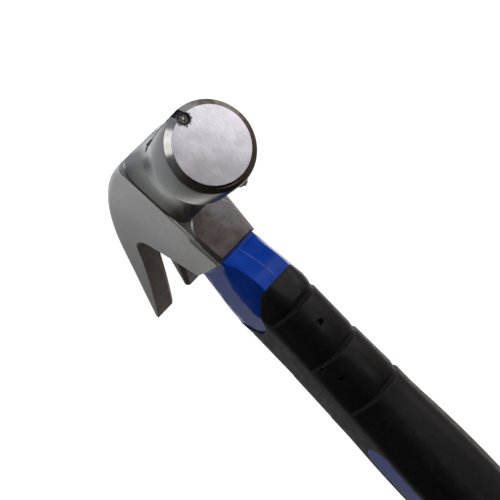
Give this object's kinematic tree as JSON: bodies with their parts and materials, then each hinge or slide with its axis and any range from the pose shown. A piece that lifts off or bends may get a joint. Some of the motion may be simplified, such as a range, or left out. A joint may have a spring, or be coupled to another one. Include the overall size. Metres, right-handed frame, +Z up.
{
  "type": "claw hammer",
  "caption": "Claw hammer with a round poll, magnetic nail starter, split curved claw, fibreglass core handle in a blue jacket and ribbed black rubber grip.",
  "frame": {"origin": "middle of the flat butt end of the handle", "axes": "+Z up the handle to the top of the head, +X from the handle to the striking face, +Y across the cheeks"},
  "size_m": [0.1388, 0.033, 0.33],
  "materials": {
    "forged_steel": "ground and satin polished, face brushed",
    "magnet": "dark, slightly rough",
    "fibreglass": "pultruded glass fibre, cut end",
    "epoxy": "poured resin, glossy",
    "dam_rubber": "soft foam rubber",
    "blue_plastic": "glossy moulded polypropylene",
    "grip_rubber": "satin moulded rubber",
    "cap_plastic": "hard black plastic, fine grain"
  },
  "bodies": {
    "root": {"head": "forged_steel", "nail_magnet": "magnet", "core_rod": "fibreglass", "eye_epoxy": "epoxy", "resin_dam": "dam_rubber", "handle_jacket": "blue_plastic", "grip_sleeve": "grip_rubber", "inlay_right": "blue_plastic", "inlay_left": "blue_plastic", "butt_cap": "cap_plastic"}
  },
  "joints": []
}
